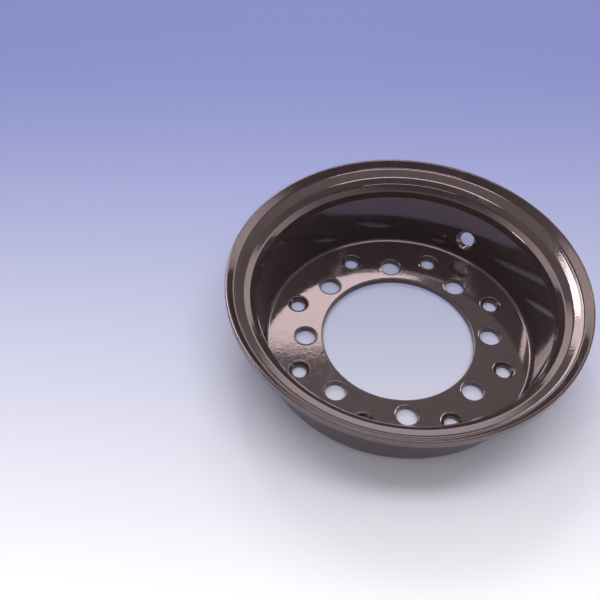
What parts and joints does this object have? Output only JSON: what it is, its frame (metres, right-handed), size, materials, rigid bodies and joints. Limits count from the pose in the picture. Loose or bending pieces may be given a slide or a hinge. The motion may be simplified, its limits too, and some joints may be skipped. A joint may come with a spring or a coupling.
{
  "type": "forklift split wheel rim half",
  "caption": "Dished steel half of a split forklift wheel rim, with a flat bolting disc, a tapered drum to seat the tyre, a rolled flange with an upturned lip, and a valve hole.",
  "frame": {"origin": "on the wheel's axis, at the flat mating face that meets the other half of the rim", "axes": "+Z along the wheel's axis to the open side, +X through a stud hole"},
  "size_m": [0.3719, 0.372, 0.0995],
  "materials": {
    "enamel": "glossy black-brown enamel with orange peel"
  },
  "bodies": {
    "root": {"rim_half": "enamel"}
  },
  "joints": []
}
